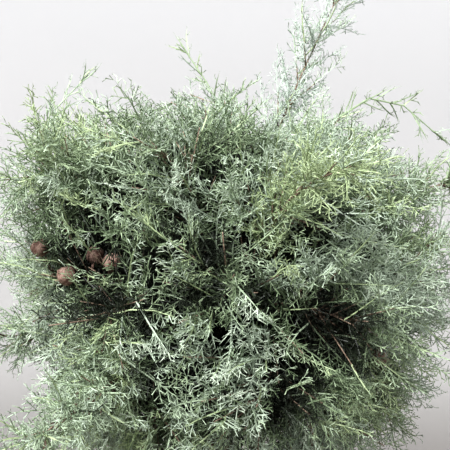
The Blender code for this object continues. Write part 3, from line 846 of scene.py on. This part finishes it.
def growPlume(region, own, grade, root, tip, side, slim, depth, rng):
    length = (tip - root).length
    forward = (tip - root) / length
    bend = across(forward, anyTurn(rng)) - up * plume["droop"]
    heading = forward - (bend - forward * bend.dot(forward)) * plume["bend"]
    path = limbPath(root, heading, tip, 0.5, plume["steps"])
    drift = rng.gauss(0, shading["chance"])
    if own and rng.random() > shading["ownShare"]:
        own = None
    stalk = tintAt(own, tip, drift)
    if depth == 1 and rng.random() < plume["freshStalks"]:
        stalk = "fresh"
    leafy[region, stalk].tubes.append(tubeArrays(path, radiiOf(plume, path), plume["sides"], pointed=True))
    middle = root.lerp(tip, 0.5)
    outward = middle - hub
    outward = outward - forward * outward.dot(forward)
    if outward.length > 0.01 and grade != "coarse":  # most plumes show their flat side outwards
        facing = Quaternion(forward, math.radians(rng.gauss(0, plume["facing"])))
        side = facing @ forward.cross(outward).normalized()
    flat = forward.cross(side).normalized()
    nearGlade = inGlade([middle], plume["edgeOfGlade"])
    spacing = plume["spacing"] * grades[grade]["sprigSpacing"]
    count = max(plume["fewest"], round(length / spacing * (0.5 + 0.5 * slim)))
    for i in range(count):
        share = plume["firstSprig"] + (plume["lastSprig"] - plume["firstSprig"]) * i / (count - 1)
        spot, heading = along(path, share)
        turn = Quaternion(heading, alternating(i, plume, rng))
        out = turn @ (side - heading * side.dot(heading)).normalized()
        spread = between(plume["rootAngle"], plume["tipAngle"], share)
        aim = splayed(heading, out, spread + rng.uniform(-plume["wobble"], plume["wobble"]))
        reach = sprigReach(share) * (length / crownHabit["sprayLength"]) ** plume["scaling"]
        reach *= rng.uniform(*plume["lengths"])
        reach *= slim * (1 - (1 - plume["flatness"]) * abs(out.dot(flat)))
        if nearGlade and inGlade([spot + aim * reach, spot + aim * (0.5 * reach)]):
            continue
        tint = tintAt(own, spot + aim * reach, drift)
        # painted highlight: sprigs of the outer plumes take the lighter tip tint, more of them towards the
        # plume's tip
        if depth == 1 and rng.random() < plume["highlightChance"] * (plume["highlightRoot"] + share):
            tint = tints[tint]["tip"]
        leafy[region, tint].setSprig(grade, spot, aim, reach, flat, rng)


def clothe(region, own, path, first, slim, rng):  # sprigs straight on the wood
    length = sum((b - a).length for a, b in zip(path, path[1:]))
    count = round(slim * length * (1 - first) / finer["clothing"])
    turn = anyTurn(rng)
    drift = rng.gauss(0, shading["chance"])
    for i in range(count):
        spot, heading = along(path, first + (1 - first) * (i + rng.random()) / count)
        turn += goldenAngle
        out = across(heading, turn)
        aim = splayed(heading, out, rng.uniform(*finer["clothingSpreads"]))
        reach = slim * rng.uniform(*finer["clothingLengths"])
        if not inGlade([spot + aim * reach]):
            tint = tintAt(own, spot, drift)
            leafy[region, tint].setSprig(gradeOf(depthOf(spot)), spot, aim, reach, heading.cross(out), rng)


class Crowd:  # plumes keep their hearts apart, closer together near the crown's outline
    def __init__(self):
        self.hearts = np.zeros((finer["mostPlumes"], 3))
        self.count = 0

    def add(self, root, tip):
        self.hearts[self.count] = root.lerp(tip, plume["heart"])
        self.count += 1

    def leavesRoom(self, root, tip, spacing):
        heart = np.array(root.lerp(tip, plume["heart"]))
        return np.linalg.norm(self.hearts[: self.count] - heart, axis=1).min() > spacing


def depthOf(point):  # 0 deep inside and 1 near the crown's outline
    return min(1.0, max(0.0, (crownShare(point) - finer["inner"]) / (finer["outer"] - finer["inner"])))


def tintAt(own, place, drift):  # the same tints over a clump, with painted shade darker inside, in the hollows and in the shady spots, and painted light on the lit mounds
    if own:
        return own
    depth = depthOf(place)
    # the shade value, which picks the painted shade tints below, drifts in random patches
    shade = depth + shading["shadeMottle"] * noise.noise(place * shading["shadeMottleScale"])
    lit = nearness(place, shading["paintedLitMounds"])
    shade += shading["moundPaintedLight"] * lit
    shade -= shading["hollowPaintedShade"] * nearness(place, shading["hollows"])
    shade -= shading["shadyShade"] * nearness(place, shading["shady"])
    # painted shade: the deep tint deep inside the crown and where the shade value is lowest, the dull tint
    # where it is a little higher
    if min(depth, shade) < shading["deepShadeBelow"]:
        return "deep_shade"
    if shade < shading["dullShadeBelow"]:
        return "dull_and_shaded"
    hue = noise.noise(place * shading["hueScale"] + Vector((7, 3, 1))) + drift - shading["moundPaintedLightHue"] * lit
    return next(name for name, tint in tints.items() if hue < tint.get("below", -9))


def gradeOf(depth):
    return next(name for name, grade in grades.items() if depth > grade["from"])


def addTwig(region, own, twig, slim):
    tubes = leafy[region, own].tubes if slim < 1 else woody[region]
    tubes.append(tubeArrays(twig, radiiOf(twigs, twig, finer["twigRadius"]), twigs["sides"]))
    if slim == 1:
        clothed.append((region, own, twig, finer["twigsClothedFrom"], slim))


def coneCentre(root, aim):
    return root + aim * (cones["stalk"] + cones["seat"] * cones["radius"])


coneSpots = []  # root and direction of each
glades = []  # the gaps that they show through
for name, places in cones["places"].items():
    for share, azimuth, elevation in places:
        root, _ = along(masses[name]["path"], share)
        coneSpots.append((root, direction(azimuth, elevation)))
        centre = coneCentre(*coneSpots[-1])
        outward = direction(cones["gladeAzimuth"] if centre.y < 0 else azimuth, cones["gladeElevation"])
        glades += [centre + outward * (cones["gladeDepth"] * step) for step in cones["gladeSteps"]]
glades = np.array(glades)


def inGlade(points, extra=0.0):
    away = np.linalg.norm(np.array(points)[:, None] - glades[None], axis=2)
    return away.min() < cones["glade"] + extra


def hidesCone(root, tip):
    return inGlade([root.lerp(tip, share) for share in cones["glimpses"]])


crowd = Crowd()
plumes = []  # region, tint, root, tip, side and slimness of each
clothed = []  # region, tint, path, where its sprigs start, and slimness of each


def growMass(name, mass):
    region = regionOf(name)
    replacedNodes[region].append(name if region == "shoots" else "foliage_" + name)
    habit, path, own = mass["habit"], mass["path"], mass.get("tint")
    slim = habit.get("slim", 1.0)
    rng = random.Random(f"{name} {seed}")

    def allowed(points):
        return room.holds(name, points)

    found = []
    for twig in growTwigs(path, habit, habit["twigs"], rng, allowed):
        found += growSprays(twig, habit, habit["sprays"], rng, allowed)
        addTwig(region, own, twig, slim)
    root, heading = along(path, spray["last"])
    tip = path[-1] + heading * (spray["past"] * habit["sprayLength"])
    found.append((root - heading * spray["sunk"], tip, across(heading, rng.uniform(0, math.pi))))
    for root, tip, side in found:
        crowd.add(root, tip)
        plumes.append((region, own, root, tip, side, slim))
    radii = radiiOf(stems, path, finer["stemRadius"])
    green = round(habit.get("greenFrom", 1.0) * (len(path) - 1))
    woody[region].append(tubeArrays(path[: green + 1], radii[: green + 1], stems["sides"]))
    if green < len(path) - 1:
        leafy[region, own].tubes.append(tubeArrays(path[green:], radii[green:], stems["sides"]))
    clothed.append((region, own, path, finer["stemsClothedFrom"], slim))


def nearness(place, spots):  # 1 in the middle of one of the spots, and 0 far from all of them
    facing, rising = anglesOf((place - hub).normalized())
    shrink = math.cos(math.radians(rising))
    most = 0.0
    for azimuth, elevation, width, height in spots:
        aside = (facing % 360 - azimuth) * shrink / width
        most = max(most, math.exp(-(aside**2) - ((rising - elevation) / height) ** 2))
    return most


def inHollow(root, tip):
    place = root.lerp(tip, plume["outer"])
    if depthOf(place) < shading["gapsFrom"]:
        return False
    if max(nearness(spot, shading["hollows"]) for spot in (place, tip)) > shading["openAbove"]:
        return True
    closed = nearness(place, shading["paintedLitMounds"]) > shading["closedAbove"]
    return not closed and noise.noise(place * shading["gapScale"]) < shading["gapBelow"]


def takePlumes(region, own, found, slim=1.0):  # those that have room, and how many they are
    before = crowd.count
    for root, tip, side in found:
        spacing = finer["shootSpacing"]
        if not own:
            share = depthOf(root.lerp(tip, plume["heart"]))
            spacing = between(finer["innerSpacing"], finer["outerSpacing"], share)
        gap = not own and inHollow(root, tip)
        if not gap and not hidesCone(root, tip) and crowd.leavesRoom(root, tip, spacing):
            crowd.add(root, tip)
            plumes.append((region, own, root, tip, side, slim))
    return crowd.count - before


def growFiner(region, own, path, habit, count, rng):
    slim = habit.get("slim", 1.0)
    for twig in growTwigs(path, habit, count, rng, room.clearOfBark):
        if takePlumes(region, own, growSprays(twig, habit, finer["sprays"], rng, room.clearOfBark), slim):
            addTwig(region, own, twig, slim)
    if not own:
        takePlumes(region, own, growSprays(path, habit, finer["stemSprays"], rng, room.clearOfBark))


def growWings(region, own, path, habit, rng):  # plumes on either side of a shoot
    plan = habit["wings"]
    for i in range(plan["plumes"]):
        share = i / (plan["plumes"] - 1)
        root, heading = along(path, between(plan["first"], wing["last"], share))
        aside = heading.cross(Vector((0, 1, 0))).normalized() * (2 * (i % 2) - 1)
        aside = Quaternion(heading, math.radians(rng.gauss(0, plan["turn"]))) @ aside
        aim = splayed(heading, aside, plan["angle"] * rng.uniform(*wing["spreads"]))
        length = plan["length"] * (1 - plan["shorter"] * share) * rng.uniform(*wing["lengths"])
        tip = root + aim * length
        crowd.add(root, tip)
        plumes.append((region, own, root, tip, heading.cross(aside), habit.get("slim", 1.0)))


for name, mass in masses.items():
    growMass(name, mass)
    if "wings" in mass["habit"]:
        growWings("shoots", mass["tint"], mass["path"], mass["habit"], random.Random(f"wings {name} {seed}"))
print("plumes of masses and shoots", len(plumes))
limbHabit = {**crownHabit, "firstTwig": finer["limbTwig"], "fringe": finer["fringe"], "eased": True}
fineHabit = {**limbHabit, "twigLength": finer["twigLength"], "firstTwig": finer["firstTwig"]}
for number in range(finer["rounds"]):
    for name, mass in masses.items():
        rng = random.Random(f"finer {name} {number} {seed}")
        region = regionOf(name)
        if region == "shoots":
            if number < mass["habit"].get("rounds", finer["rounds"]):
                growFiner(region, mass["tint"], mass["path"], mass["habit"], finer["shootTwigs"], rng)
            if "carries" in mass:  # its foot also carries the top of the crown
                growFiner("upper", None, mass["path"][: mass["carries"]], limbHabit, finer["stemTwigs"], rng)
        else:
            habit = fineHabit if number else {**fineHabit, "twigLength": crownHabit["twigLength"]}
            growFiner(region, None, mass["path"], habit, finer["stemTwigs"], rng)
    for name, path in limbs.items():
        rng = random.Random(f"finer {name} {number} {seed}")
        count = finer["trunkTwigs" if name == "trunk" else "boughTwigs"]
        growFiner(regionOf(name), None, path, limbHabit, count, rng)
    print("plumes", len(plumes))

tintRng = random.Random(f"tints {seed}")
for region, own, root, tip, side, slim in plumes:
    depth = depthOf(root.lerp(tip, plume["outer"]))
    if not hidesCone(root, tip):
        growPlume(region, own, gradeOf(depth), root, tip, side, slim, depth, tintRng)
for region, own, path, first, slim in clothed:
    clothe(region, own, path, first, slim, tintRng)
print("foliage grown")

twigFinish = Finish("twig_bark", Roughness=0.78)
grain = twigFinish.speckle(240, 3, 0.55, (1, 1, 0.5))
scaly = twigFinish.cells(420, stretch=(1, 1, 0.6))
twigColour = twigFinish.fade(grain, 0.35, 0.65, paint(86, 72, 61), paint(124, 107, 92))
twigColour = twigFinish.fade(scaly, 0.55, 0.20, twigColour, paint(154, 136, 120))
twigFinish.feed(Base_Color=twigColour)
twigFinish.relief(scaly, 0.0005, 0.6)
leaf = {"lighter": 1.16, "bloom": 6, "darker": 0.80}


def leafFinish(name, colour):
    finish = Finish("leaf_" + name, Roughness=0.55)
    light = paint(*(min(255, c * leaf["lighter"] + leaf["bloom"]) for c in colour))
    dark = paint(*(c * leaf["darker"] for c in colour))
    bloom = finish.ramp(finish.speckle(60, 3, 0.6), 0.35, 0.65)
    scales = finish.cells(900)
    shade = finish.blend(bloom, paint(*colour), light)
    finish.feed(Base_Color=finish.blend(finish.ramp(scales, 0.25, 0.7) * 0.5, shade, dark))
    return finish.relief(scales, 0.0003, 0.4)


for region in woody:
    addJoined("twigs_" + region, woody[region], twigFinish, "bark", *replacedNodes[region])
models = cutSprigs()
for tint, look in tints.items():
    finish = leafFinish(tint, look["colour"])
    for region in woody:
        parts = leafy[region, tint].parts(models)
        if parts:
            nodes = replacedNodes[region]
            addJoined(f"foliage_{region}_{tint}", parts, finish, "foliage", *nodes, smooth=False)
print("foliage joined")


# Cones: shield-shaped scales round a ball, each with a blunt boss

coneFinish = Finish("cone", Roughness=0.75)
weather = coneFinish.speckle(130, 4, 0.6)
coneColour = coneFinish.fade(weather, 0.38, 0.62, paint(112, 84, 74), paint(164, 138, 126))
coneFinish.feed(Base_Color=coneColour)
coneFinish.relief(coneFinish.speckle(520, 4, 0.6), 0.0006, 0.8)


def coneModel(root, aim, rng):
    bm = bmesh.new()
    bmesh.ops.create_icosphere(bm, subdivisions=4, radius=1.0)
    tilt = anyTurn(rng)
    centres = []
    for i in range(cones["scales"]):
        height = 1 - 2 * (i + 0.5) / cones["scales"]
        angle = tilt + i * goldenAngle
        flat = math.sqrt(1 - height * height)
        centres.append(Vector((flat * math.cos(angle), flat * math.sin(angle), height)))
    for vert in bm.verts:
        near = sorted((vert.co - centre).length for centre in centres)
        seam = min(1.0, (near[1] - near[0]) / cones["grooveWidth"])
        boss = max(0.0, 1 - near[0] / cones["bossWidth"])
        rough = cones["rough"] * noise.noise(vert.co * cones["roughScale"] + Vector((tilt, 0, 0)))
        radius = 1 - cones["groove"] * (1 - seam) ** 2 + cones["boss"] * boss**1.5 + rough
        vert.co *= radius * cones["radius"] / cones["fullest"]
    facing = aim.to_track_quat("Z", "Y").to_matrix().to_4x4()
    bmesh.ops.transform(bm, matrix=Matrix.Translation(coneCentre(root, aim)) @ facing, verts=bm.verts)
    ends = (0, 0.5 * cones["stalk"], cones["stalk"] + cones["stalkEnd"] * cones["radius"])
    drawTube(bm, [root + aim * end for end in ends], cones["stalkRadii"], cones["stalkSides"])
    return toArrays(bm)


coneRng = random.Random(f"cones {seed}")
coneParts = [coneModel(root, aim, coneRng) for root, aim in coneSpots]
addJoined("cones", coneParts, coneFinish, "bark")


# Pot and soil

pot = {
    "height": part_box("pot")[1][2], "rim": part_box("pot")[1][0], "neck": 0.114, "base": 0.084,
    "band": 0.036, "bandGap": 0.0005, "wall": 0.009, "lip": 0.003, "footLip": 0.9, "floor": 0.012,
    "turns": 96,
}
potFinish = Finish("clay", Roughness=0.82)
clayGrain = potFinish.speckle(340, 4, 0.6)
stain = potFinish.speckle(9, 4, 0.6, (1, 1, 2.2))
salts = potFinish.ramp(potFinish.speckle(22, 5, 0.7), 0.56, 0.70)
clay = potFinish.fade(stain, 0.38, 0.62, paint(176, 104, 74), paint(198, 128, 96))
clay = potFinish.blend(salts * 0.35, clay, paint(214, 186, 166))
clay = potFinish.blend(potFinish.ramp(clayGrain, 0.62, 0.74) * 0.4, clay, paint(120, 70, 52))
potFinish.feed(Base_Color=clay)
potFinish.relief(clayGrain + 0.6 * potFinish.speckle(60, 3, 0.5, (0.3, 0.3, 6)), 0.0008, 0.5)


def spun(profile, turns):
    bm = bmesh.new()
    points = [bm.verts.new((radius, 0, height)) for radius, height in profile]
    edges = [bm.edges.new(pair) for pair in zip(points, points[1:])]
    whole = 2 * math.pi
    bmesh.ops.spin(bm, geom=points + edges, axis=up, angle=whole, steps=turns, use_merge=True)
    bmesh.ops.remove_doubles(bm, verts=bm.verts, dist=1e-5)
    return bm


def roundedCorner(centre, radius, start, end, steps=5):
    points = []
    for i in range(steps + 1):
        a = math.radians(start + (end - start) * i / steps)
        points.append((centre[0] + radius * math.cos(a), centre[1] + radius * math.sin(a)))
    return points


def potProfile():
    top, neck, base, lip, rim = pot["height"], pot["neck"], pot["base"], pot["lip"], pot["rim"]
    bandFoot = top - pot["band"]
    slope = (neck - base) / bandFoot

    def inside(height):
        return base + slope * height - pot["wall"]

    profile = [(0, pot["floor"]), (inside(pot["floor"]), pot["floor"])]
    profile += roundedCorner((inside(top) + lip, top - lip), lip, 180, 90)
    profile += roundedCorner((rim - lip, top - lip), lip, 90, 0)
    profile += roundedCorner((rim - lip, bandFoot + lip), lip, 0, -80)
    profile += [(neck, bandFoot - pot["bandGap"])]
    profile += roundedCorner((base - lip * pot["footLip"], lip), lip, 0, -90)
    return profile + [(0, 0)]


addModelled("clay_pot", spun(potProfile(), pot["turns"]), potFinish, "clay", "pot")

soil = {
    "turns": 120, "rings": 34, "gap": 0.0002, "mound": 0.006, "crumb": 0.0022, "crumbScale": 130,
    "settled": 0.03, "skirt": 0.03, "skirtShare": 0.96, "clods": 420, "clodSizes": (0.0012, 0.0034),
    "chips": 130, "chipSizes": (0.0016, 0.0035), "free": 0.008, "angular": 0.35, "tilt": 0.3,
}
soilFinish = Finish("compost", Roughness=0.95)
crumbs = soilFinish.speckle(210, 6, 0.7)
soilColour = soilFinish.fade(crumbs, 0.40, 0.66, paint(44, 34, 28), paint(92, 72, 58))
soilFinish.feed(Base_Color=soilColour)
soilFinish.relief(crumbs, 0.002, 0.9)
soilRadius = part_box("soil")[1][0] - soil["gap"]


def soilHeight(x, y):
    away = math.hypot(x, y)
    fall = soil["mound"] * min(1.0, away / soilRadius) ** 2
    crumble = noise.fractal(Vector((x * soil["crumbScale"], y * soil["crumbScale"], 1.7)), 0.9, 2.1, 5)
    settled = 1 - math.exp(-((away / soil["settled"]) ** 2))  # smooth round the trunk
    return soilTop - fall - soil["crumb"] * (0.9 + 0.8 * crumble) * settled * 0.8


def soilModel():
    profile = [(soilRadius * i / soil["rings"], 0) for i in range(soil["rings"] + 1)]
    bm = spun(profile, soil["turns"])
    for vert in bm.verts:
        vert.co.z = soilHeight(vert.co.x, vert.co.y)
    rim = [edge for edge in bm.edges if edge.is_boundary]
    skirt = bmesh.ops.extrude_edge_only(bm, edges=rim)["geom"]
    for item in skirt:
        if isinstance(item, bmesh.types.BMVert):
            item.co.z = soilTop - soil["skirt"]
            item.co.xy *= soil["skirtShare"]
    bmesh.ops.contextual_create(bm, geom=[item for item in skirt if isinstance(item, bmesh.types.BMEdge)])
    return bm


def lyingBit(rng, sizes, flatness, length):
    size = rng.uniform(*sizes)
    bm = bmesh.new()
    bmesh.ops.create_icosphere(bm, subdivisions=1, radius=1.0)
    for vert in bm.verts:
        vert.co *= 1 + soil["angular"] * noise.noise(vert.co * 2 + Vector((rng.uniform(0, 50), 0, 0)))
    reach = (soilRadius - soil["free"]) * math.sqrt(rng.uniform(0.05, 1))
    angle = anyTurn(rng)
    x, y = reach * math.cos(angle), reach * math.sin(angle)
    shape = Matrix.Diagonal((size * length, size, size * flatness, 1))
    turn = Matrix.Rotation(rng.uniform(0, 6.28), 4, "Z")
    turn = turn @ Matrix.Rotation(rng.uniform(-soil["tilt"], soil["tilt"]), 4, "X")
    place = Matrix.Translation((x, y, soilHeight(x, y)))
    bmesh.ops.transform(bm, matrix=place @ turn @ shape, verts=bm.verts)
    return toArrays(bm)


addModelled("compost_surface", soilModel(), soilFinish, "soil", "soil")
soilRng = random.Random(f"soil {seed}")
clods = [lyingBit(soilRng, soil["clodSizes"], 0.8, 1.1) for _ in range(soil["clods"])]
addJoined("compost_clods", clods, soilFinish, "soil")
chips = [lyingBit(soilRng, soil["chipSizes"], 0.35, 2.6) for _ in range(soil["chips"])]
addJoined("bark_chips", chips, barkFinish, "soil")
print("pot and soil")


# Studio: a pale floor that curves up into a pale wall all round, with painted shade that darkens the floor
# towards its middle and the wall towards its foot

studio = {"floor": 3.4, "rings": (0, 0.5, 1.5), "curve": 1.6, "cornerSteps": 16, "height": 6.0, "turns": 96}
studioFinish = Finish("studio", Roughness=0.95)
height = studioFinish.add("SeparateXYZ", "Z", {}, Vector=studioFinish.place)
away = studioFinish.add("VectorMath", "Value", {"operation": "LENGTH"}, Vector=studioFinish.place)
# painted shade: the floor darker near the plant, and the wall darker low down and lighter towards the top
floorPaintedShade = studioFinish.fade(away, 1.3, 3.3, paint(116, 112, 109), paint(196, 194, 192))
wallPaintedShade = studioFinish.fade(height, 0.0, 1.9, floorPaintedShade, paint(229, 229, 230))
studioFinish.feed(Base_Color=wallPaintedShade)


def studioProfile():
    floor, curve = studio["floor"], studio["curve"]
    corner = roundedCorner((floor, curve), curve, -90, 0, studio["cornerSteps"])
    return [(radius, 0) for radius in studio["rings"]] + corner + [(floor + curve, studio["height"])]


shell = spun(studioProfile(), studio["turns"])
bmesh.ops.recalc_face_normals(shell, faces=shell.faces)
bmesh.ops.reverse_faces(shell, faces=shell.faces)
finished("studio", meshOf("studio", shell), studioFinish)

lights = {
    "key": {"place": (-1.4, -2.2, 3.3), "target": (0, 0, 0.55), "size": 1.2, "power": 300},
    "fill": {"place": (2.6, -2.2, 1.6), "target": (0, 0, 0.5), "size": 2.4, "power": 12},
    "back": {"place": (0.8, 2.4, 3.4), "target": (0, 0, 0.6), "size": 2.4, "power": 40},
}
daylight = {"colour": (0.93, 0.96, 1.0, 1.0), "strength": 0.42}
for name, light in lights.items():
    lamp = bpy.data.lights.new(name, "AREA")
    lamp.shape = "DISK"
    lamp.size = light["size"]
    lamp.energy = light["power"]
    holder = linked(name, lamp)
    holder.location = light["place"]
    ahead = Vector(light["target"]) - holder.location
    holder.rotation_euler = ahead.to_track_quat("-Z", "Y").to_euler()
world = bpy.data.worlds.new("daylight")
scene.world = world
world.use_nodes = True
world.node_tree.nodes["Background"].inputs["Color"].default_value = daylight["colour"]
world.node_tree.nodes["Background"].inputs["Strength"].default_value = daylight["strength"]
scene.view_settings.view_transform = "Standard"
scene.view_settings.look = "Medium High Contrast"

view = {"distance": 1.25, "height": 0.60, "width": 0.549, "sensor": 36.0}
camera = bpy.data.cameras.new("camera")
camera.sensor_width = view["sensor"]
camera.lens = view["sensor"] * view["distance"] / view["width"]
camera.clip_start = 0.05
holder = linked("camera", camera)
holder.location = (0, -view["distance"], view["height"])
holder.rotation_euler = (math.radians(90), 0, 0)
scene.camera = holder
print("studio")
